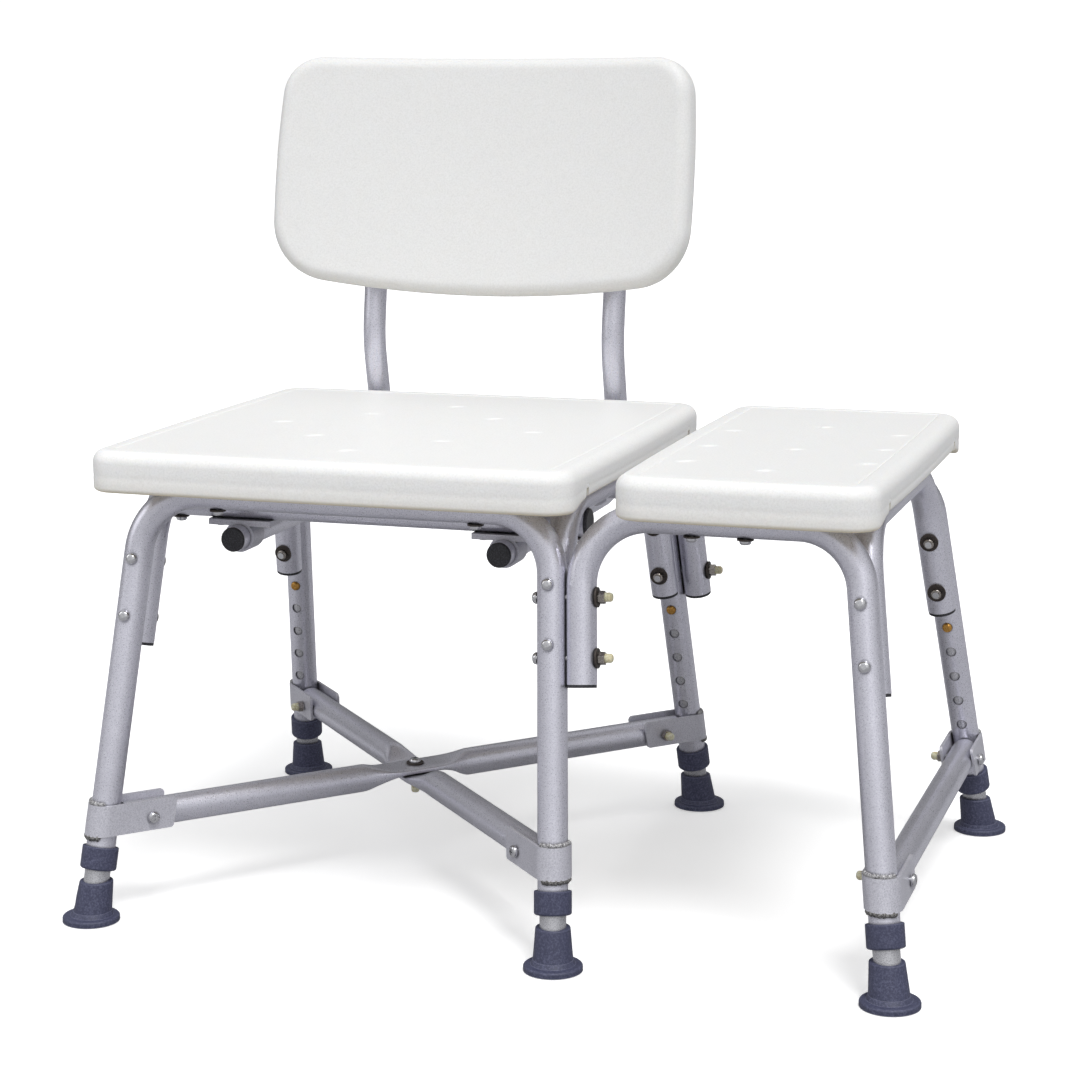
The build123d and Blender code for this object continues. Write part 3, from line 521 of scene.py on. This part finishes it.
def arc(p, m, q, count):
    """Points on the circle from p through m to q."""
    (ax, ay), (bx, by), (cx, cy) = p, m, q
    div = 2 * (ax * (by - cy) + bx * (cy - ay) + cx * (ay - by))
    a2, b2, c2 = ax**2 + ay**2, bx**2 + by**2, cx**2 + cy**2
    ux = (a2 * (by - cy) + b2 * (cy - ay) + c2 * (ay - by)) / div
    uy = (a2 * (cx - bx) + b2 * (ax - cx) + c2 * (bx - ax)) / div
    start, stop = math.atan2(ay - uy, ax - ux), math.atan2(cy - uy, cx - ux)
    radius = math.hypot(ax - ux, ay - uy)
    while stop - start > math.pi:
        stop -= 2 * math.pi
    while start - stop > math.pi:
        stop += 2 * math.pi
    angles = [start + (stop - start) * k / count for k in range(count + 1)]
    return [(ux + radius * math.cos(a), uy + radius * math.sin(a)) for a in angles]


def back_outline():
    """Loop of (x, z, nx, nz) round the flat backrest, with outward normals."""
    hx, top, low = BACK_HALF_X, BACK_HALF_Z, BACK_LOW
    mid_z = (low + top) / 2
    # bottom, +X side, top, -X side, each with the corner radius at its end
    sides = [arc((-hx, low), (0, -top), (hx, low), 160),
             arc((hx, low), (hx + 3, mid_z), (hx - 4, top - 2), 90),
             arc((hx - 4, top - 2), (0, top), (-hx + 4, top - 2), 160),
             arc((-hx + 4, top - 2), (-hx - 3, mid_z), (-hx, low), 90)]
    radii = [50.0, 37.0, 37.0, 50.0]
    trim, pull = 0.93, 0.58     # side cut away per corner radius; curve handles' reach
    loop = []
    for i, side in enumerate(sides):
        following = sides[(i + 1) % 4]
        cut_in, cut_out = radii[i - 1] * trim, radii[i] * trim
        kept = [p for p in side
                if math.dist(p, side[0]) > cut_in and math.dist(p, side[-1]) > cut_out]
        loop += kept
        # the corner is a cubic curve close to the arc of its radius
        a, corner = kept[-1], side[-1]
        b = next(p for p in following if math.dist(p, following[0]) > cut_out)
        for step in range(1, 16):
            u = step / 16
            w = 1 - u
            loop.append(tuple(
                w**3 * a[n] + 3 * w**2 * u * (a[n] + (corner[n] - a[n]) * pull)
                + 3 * w * u * u * (b[n] + (corner[n] - b[n]) * pull) + u**3 * b[n]
                for n in (0, 1)))
    outline = []
    for i, (x, z) in enumerate(loop):
        before, after = loop[i - 1], loop[(i + 1) % len(loop)]
        tx, tz = after[0] - before[0], after[1] - before[1]
        length = math.hypot(tx, tz)
        outline.append((x, z, tz / length, -tx / length))
    return outline


def back_place(x, y, z):
    """Bends, tilts and places a point of the flat panel, where -y is its front face."""
    turn, radius = x / BACK_BEND, BACK_BEND + y
    bent_x, bent_y = radius * math.sin(turn), -BACK_BEND + radius * math.cos(turn)
    cos, sin = math.cos(BACK_TILT), math.sin(BACK_TILT)
    return bent_x, BACK_Y + bent_y * cos + z * sin, BACK_Z + z * cos - bent_y * sin


def back_ring(outline, inset, y):
    ring = []
    for x, z, nx, nz in outline:
        edge = min(inset, BACK_SHRINK)
        k = 1.0 - (inset - edge) / (BACK_HALF_Z - BACK_SHRINK)
        ring.append(back_place((x - nx * edge) * k, y, (z - nz * edge) * k))
    return ring


def back_panel():
    half = BACK_HALF_DEPTH
    insets = [113.5, 111, *(108 - 3.6 * k for k in range(20)), 36, 33, 29, 25, 21, 17, 14]
    # (inset, depth) of one half of the section, from the middle of the face to the side
    section = [(inset, half) for inset in insets]
    section += [(BACK_ROUND - BACK_ROUND * math.cos(a), half - BACK_ROUND + BACK_ROUND * math.sin(a))
                for a in reversed(quarter_turn(10))]
    outline = back_outline()
    rings = [back_ring(outline, inset, -y) for inset, y in section]
    rings += [back_ring(outline, inset, y) for inset, y in reversed(section)]
    part = make_part("backrest_panel_moulded", loft(rings), BACK_WHITE_SHADED, "backrest",
                     sharp_angle=50)
    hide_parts("backrest_panel")


back_panel()

# ------------------------------------------------------------------ backrest pads
# The backrest tubes' line, by y and z at its two ends
LINE_Y0, LINE_Z0, LINE_Y1, LINE_Z1 = 230.0, 460.5, 258.4, 650.0
LINE_LENGTH = math.hypot(LINE_Y1 - LINE_Y0, LINE_Z1 - LINE_Z0)
UP = Vector((0, (LINE_Y1 - LINE_Y0) / LINE_LENGTH, (LINE_Z1 - LINE_Z0) / LINE_LENGTH))
REAR = Vector((0, UP.z, -UP.y))
PAD_X, PAD_RISE = 122.0, 132.0      # from the seat's middle; up the line from its lower end
SADDLE = 11.25                      # radius of the hollow for the tube

# (distance along the pad, width scale) up the pad
PAD_LEVELS = [(-50, 0.86), (-49, 0.93), (-47, 0.98), (-44, 1.0), (-20, 1.0),
              (20, 1.0), (44, 1.0), (47, 0.98), (49, 0.93), (50, 0.86)]


def back_pad(name, x):
    """Block on the back of the panel with a saddle for the tube."""
    middle = Vector((x, LINE_Y0, LINE_Z0)) + UP * PAD_RISE
    saddle = [(-SADDLE * math.cos(math.radians(a)), -SADDLE * math.sin(math.radians(a)))
              for a in range(0, 181, 9)]
    # (sideways, rearward) section
    section = [(-17, -33), (-17, -1.5), (-15.5, 0), *saddle, (15.5, 0), (17, -1.5), (17, -33)]
    rings = []
    for along, scale in PAD_LEVELS:
        # only the outer corners draw in; the saddle keeps its radius
        rings.append([middle + UP * along
                      + Vector((1, 0, 0)) * (side * (scale if abs(side) > 11.3 else 1))
                      + REAR * depth for side, depth in section])
    part = make_part(name, loft(rings), BACK_WHITE_SHADED, "backrest", sharp_angle=40)


back_pad("backrest_pad_left", -PAD_X)
back_pad("backrest_pad_right", PAD_X)


# ------------------------------------------------------------------ brace tubes
def leg_at(leg, z):
    x, y, run_x, run_y = LEGS[leg]
    return Vector((x + run_x * z, y + run_y * z, z))


BRACE_POINTS = 48       # points round the section
BRACE_TRIM = 17.5       # each end stops this far short of the leg axis
# (round radius, pressed half width, pressed half height) of each skin
BRACE_OUTER = (12.7, 18.3, 2.95)
BRACE_INNER = (11.2, 16.8, 1.6)


def brace_faces(count):
    """Faces of count outer rings followed by count inner rings, joined at both ends."""
    size = BRACE_POINTS
    inner, last = count * size, (count - 1) * size
    faces = []
    for start in range(0, last, size):
        for j in range(size):
            a, b = start + j, start + (j + 1) % size
            faces.append((a, b, b + size, a + size))
            faces.append((inner + a, inner + a + size, inner + b + size, inner + b))
    for j in range(size):
        k = (j + 1) % size
        faces.append((j, k, inner + k, inner + j))
        faces.append((last + k, last + j, inner + last + j, inner + last + k))
    return faces


def brace(name, node, leg_a, leg_b, shift):
    """Tube between two legs, squeezed flat and moved by shift in z where it crosses the other."""
    a, b = leg_at(leg_a, BRACE_Z), leg_at(leg_b, BRACE_Z)
    along = (b - a).normalized()
    across = Z_AXIS.cross(along)
    middle = (a + b) / 2
    half = (b - a).length / 2 - BRACE_TRIM
    stations = [-62 + 3.0 * k for k in range(42)]
    stations += [s * t for s in (-1, 1) for t in (66, 80, half * 0.6, half)]
    stations = sorted({round(t, 3) for t in stations})
    verts = []
    for skin in (BRACE_OUTER, BRACE_INNER):
        radius, flat_width, flat_height = skin
        for t in stations:
            flat = 1 - smoothstep(17, 55, abs(t))
            width = radius + (flat_width - radius) * flat
            height = radius + (flat_height - radius) * flat ** 0.8
            power = 2 / (2.0 + 2.4 * flat)      # squarer as it flattens
            # pressing leaves a shallow dent down the middle of the shoulders
            dent = 1.1 * flat * (1 - flat) * 4 if skin is BRACE_OUTER else 0.0
            for k in range(BRACE_POINTS):
                angle = 2 * math.pi * k / BRACE_POINTS
                cos, sin = math.cos(angle), math.sin(angle)
                side = width * math.copysign(abs(cos) ** power, cos)
                rise = height * math.copysign(abs(sin) ** power, sin)
                rise -= math.copysign(dent * abs(sin) ** 3, rise)
                verts.append(middle + along * t + across * side + Z_AXIS * (rise + shift * flat))
    part = make_part(name, (verts, brace_faces(len(stations))), TUBE, "frame", sharp_angle=50)
    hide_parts(node)


brace("upper_brace_pressed", "upper_brace_tube", "front_left", "rear_middle", 3.05)
brace("lower_brace_pressed", "lower_brace_tube", "rear_left", "front_middle", -3.05)

# ------------------------------------------------------------------ weld beads at the leg brackets
BEAD_PATH = 13.4        # radius from the leg axis to the bead's middle
BEAD_POINTS = 14

toward_mate = {}        # direction from each leg to the one it is paired with
for leg, mate in (("front_left", "rear_middle"), ("rear_left", "front_middle"),
                  ("front_right", "rear_right")):
    direction = (leg_at(mate, BRACE_Z) - leg_at(leg, BRACE_Z)).normalized()
    toward_mate[leg], toward_mate[mate] = direction, -direction


def weld(name, leg, z, start, stop, thick, seed, material):
    """Rippled bead round the leg at z, from start to stop degrees off the side facing away."""
    rng = random.Random(seed)
    centre = leg_at(leg, z)
    away = -toward_mate[leg]
    across = Z_AXIS.cross(away)
    leg_axis = Vector((*LEGS[leg][2:], 1)).normalized()
    count = int((stop - start) / 3.0)
    rings = []
    for i in range(count + 1):
        a = math.radians(start + (stop - start) * i / count)
        # tapered ends, and a row of overlapping ripples between
        radius = thick * min(1.0, 0.35 + 0.65 * min(i, count - i) / 3.0)
        radius *= 0.74 + 0.32 * abs(math.sin(i * 0.62 + seed)) + rng.uniform(-0.12, 0.12)
        lift = rng.uniform(-0.35, 0.35)
        reach = BEAD_PATH + rng.uniform(-0.15, 0.2)
        out = away * math.cos(a) + across * math.sin(a)
        middle = centre + out * reach + leg_axis * lift
        ring = []
        for k in range(BEAD_POINTS):
            turn = 2 * math.pi * k / BEAD_POINTS
            point = (middle + out * (radius * math.cos(turn))
                     + Z_AXIS * (radius * 1.05 * math.sin(turn)))
            ring.append(point + out * rng.uniform(-0.16, 0.16)
                        + Z_AXIS * rng.uniform(-0.16, 0.16))
        rings.append(ring)
    part = make_part(name, loft(rings), material, "frame", sharp_angle=None)
    soft = part.modifiers.new("soft", "SUBSURF")
    soft.levels = soft.render_levels = 1


for i, leg in enumerate(LEGS):
    # the lower beads, under the brackets, take the darker weld metal as painted shade
    weld("weld_lower_" + leg, leg, z=73.2, start=-70, stop=62, thick=2.7, seed=11 + i,
         material=WELD_SHADED)
    weld("weld_upper_" + leg, leg, z=101.9, start=-78, stop=66, thick=2.3, seed=31 + i,
         material=WELD)

# ------------------------------------------------------------------ finishes of the CAD pieces
SLOT_MATERIALS = {"tube": TUBE, "bracket": STRAP, "rubber": RUBBER, "plug": PLUG, "brass": BRASS,
                  "steel": CHROME, "spring": SPRING, "nylon": NYLON, "washer": WASHER,
                  "panel": SEAT_WHITE}
slot_of = {s["node"]: s["material_slot"] for s in frame["record"]["subparts"]}
for name, piece in cad.items():
    material = SLOT_MATERIALS.get(slot_of.get(name, "tube"), TUBE)
    if name.startswith("leg_extension"):
        material = EXTENSION
    if name == "nuts":
        material = NUT
    mesh = piece.data
    mesh.materials.clear()
    mesh.materials.append(material)
    mesh.polygons.foreach_set("use_smooth", [True] * len(mesh.polygons))
    mesh.polygons.foreach_set("material_index", [0] * len(mesh.polygons))
    mesh.set_sharp_from_angle(angle=math.radians(32))

# each button's spring arm is copied into an object of its own, and its CAD piece hidden
for leg in LEGS:
    spring = bpy.data.objects.new("leaf_spring_" + leg, cad["button_spring_" + leg].data.copy())
    bpy.context.scene.collection.objects.link(spring)
    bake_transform(spring)
    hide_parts("button_spring_" + leg)


# ------------------------------------------------------------------ floor
def floor_material():
    """Near white to the camera, and a darker grey to the light it bounces."""
    material, nodes, surface = new_material("studio_floor")
    clouds = nodes.noise(nodes.object_point(), scale=3.0)
    colour = nodes.ramp(clouds, (0.3, (0.93, 0.93, 0.93)), (0.7, (0.95, 0.95, 0.95)))
    seen = nodes.add("LightPath").outputs["Is Camera Ray"]
    nodes.feed(surface, {
        "Base Color": nodes.mix(seen, (0.40, 0.40, 0.41), colour),
        "Roughness": 0.75,
        "Specular IOR Level": 0.1,
        "Emission Color": (1, 1, 1),
        "Emission Strength": nodes.calc("MULTIPLY", seen, 0.34),
    })
    return material


def add_object(name, data):
    added = bpy.data.objects.new(name, data)
    bpy.context.scene.collection.objects.link(added)
    return added


bm = bmesh.new()
bmesh.ops.create_grid(bm, x_segments=8, y_segments=8, size=14.0)
floor_mesh = bpy.data.meshes.new("floor")
bm.to_mesh(floor_mesh)
bm.free()
floor = add_object("floor", floor_mesh)
floor.location = (0, 0, -0.0006)
floor_mesh.materials.append(floor_material())


# ------------------------------------------------------------------ lights
def aim(direction):
    return Vector(direction).to_track_quat("-Z", "Y").to_euler()


def area_light(name, place, size, power):
    light = bpy.data.lights.new(name, "AREA")
    light.energy = power
    light.size = size
    lamp = add_object(name, light)
    lamp.location = place
    lamp.rotation_euler = aim(Vector((0.0, 0.0, 0.35)) - Vector(place))


sun = bpy.data.lights.new("key", "SUN")
sun.energy = 1.62
sun.angle = math.radians(22)
add_object("key", sun).rotation_euler = aim((-0.30, 0.38, -0.92))
area_light("front_fill", place=(1.4, -2.6, 1.6), size=1.3, power=1.5)
area_light("left_fill", place=(-2.3, -0.9, 1.5), size=1.4, power=8)


def studio_world():
    """White to the camera; lights the bench brightest from above and the front."""
    world = bpy.data.worlds.new("studio")
    bpy.context.scene.world = world
    nodes = Nodes(world)
    output = nodes.add("OutputWorld")
    seen = nodes.add("Background", {0: (1, 1, 1), 1: 1.05})
    facing = nodes.dot(nodes.add("TexCoord").outputs["Generated"],
                       Vector((0.14, -0.52, 0.84)).normalized())
    strength = nodes.remap(facing, span=(-0.35, 0.95), to=(0.12, 0.92))
    lighting = nodes.add("Background", {0: (0.985, 0.99, 1.0), 1: strength})
    camera_ray = nodes.add("LightPath").outputs["Is Camera Ray"]
    mixed = nodes.add("MixShader", {0: camera_ray, 1: lighting.outputs[0], 2: seen.outputs[0]})
    nodes.feed(output, {0: mixed.outputs[0]})


studio_world()

# ------------------------------------------------------------------ camera
scene = bpy.context.scene
scene.view_settings.view_transform = "Standard"
scene.view_settings.look = "None"
scene.view_settings.exposure = 0.0

CAMERA_PLACE = (0.8212129 + ROW_X * MM, -2.2061408, 0.7540116)
AZIMUTH, DOWN_TILT, ROLL = 0.3067, 0.1894, -0.0027      # radians

lens = bpy.data.cameras.new("camera")
lens.sensor_width = 36.0
lens.lens = 87.1333333
lens.clip_end = 50
camera = add_object("camera", lens)
forward = Vector((-math.sin(AZIMUTH) * math.cos(DOWN_TILT),
                  math.cos(AZIMUTH) * math.cos(DOWN_TILT), -math.sin(DOWN_TILT)))
level = Vector((math.cos(AZIMUTH), math.sin(AZIMUTH), 0))
upright = level.cross(forward)
right = level * math.cos(ROLL) + upright * math.sin(ROLL)
up = -level * math.sin(ROLL) + upright * math.cos(ROLL)
pose = Matrix((right, up, -forward)).transposed().to_4x4()
pose.translation = CAMERA_PLACE
camera.matrix_world = pose
scene.camera = camera
